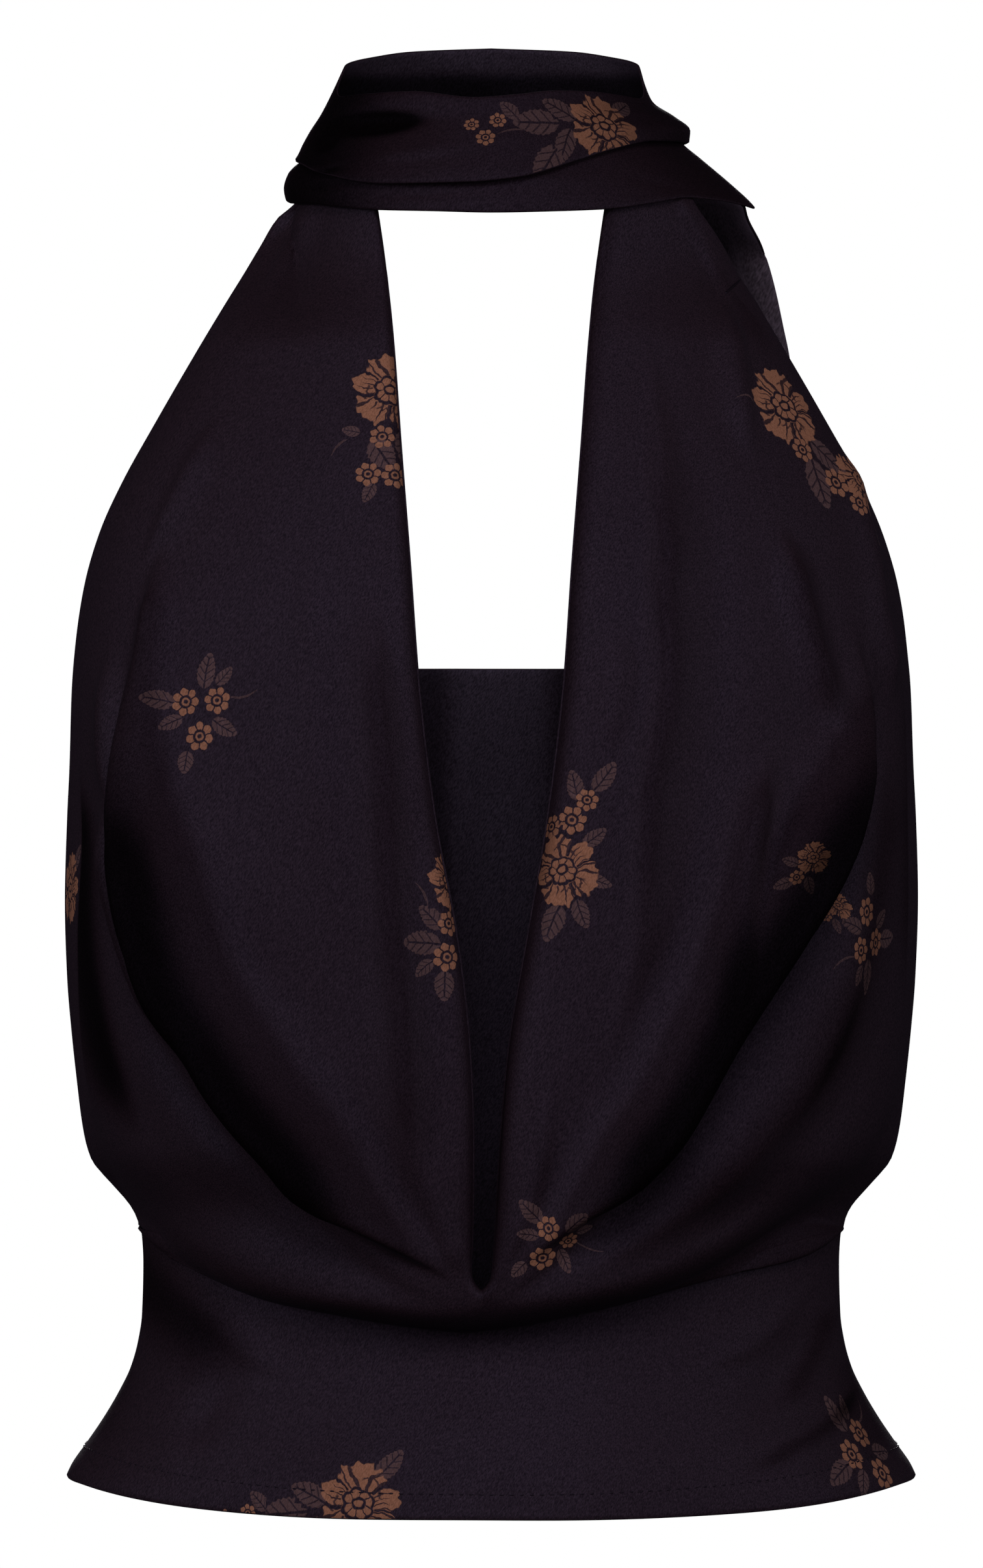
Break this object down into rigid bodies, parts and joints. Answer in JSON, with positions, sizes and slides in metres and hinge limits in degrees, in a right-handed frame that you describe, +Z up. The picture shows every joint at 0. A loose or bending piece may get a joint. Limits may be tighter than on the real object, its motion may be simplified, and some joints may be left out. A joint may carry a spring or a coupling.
{
  "type": "cowl neck top",
  "caption": "Sleeveless halter top in dark satin: a deep draped V cowl over a fitted flared waist, a low straight back and a scarf wound round the neck.",
  "frame": {"origin": "middle of the neck, inside the scarf, level with the upper turn's lower edge", "axes": "+X to the right of someone who looks at the front, +Y to the back, +Z up"},
  "size_m": [0.3094, 0.2525, 0.5275],
  "materials": {
    "satin": "near-black aubergine satin with a sparse bronze flower print",
    "satin_reverse": "the satin's matt crepe reverse"
  },
  "bodies": {
    "root": {"cowl_front": "satin", "waist_front": "satin", "back": "satin", "scarf_upper_turn": "satin", "scarf_lower_turn": "satin", "scarf_tail": "satin_reverse"}
  },
  "joints": []
}
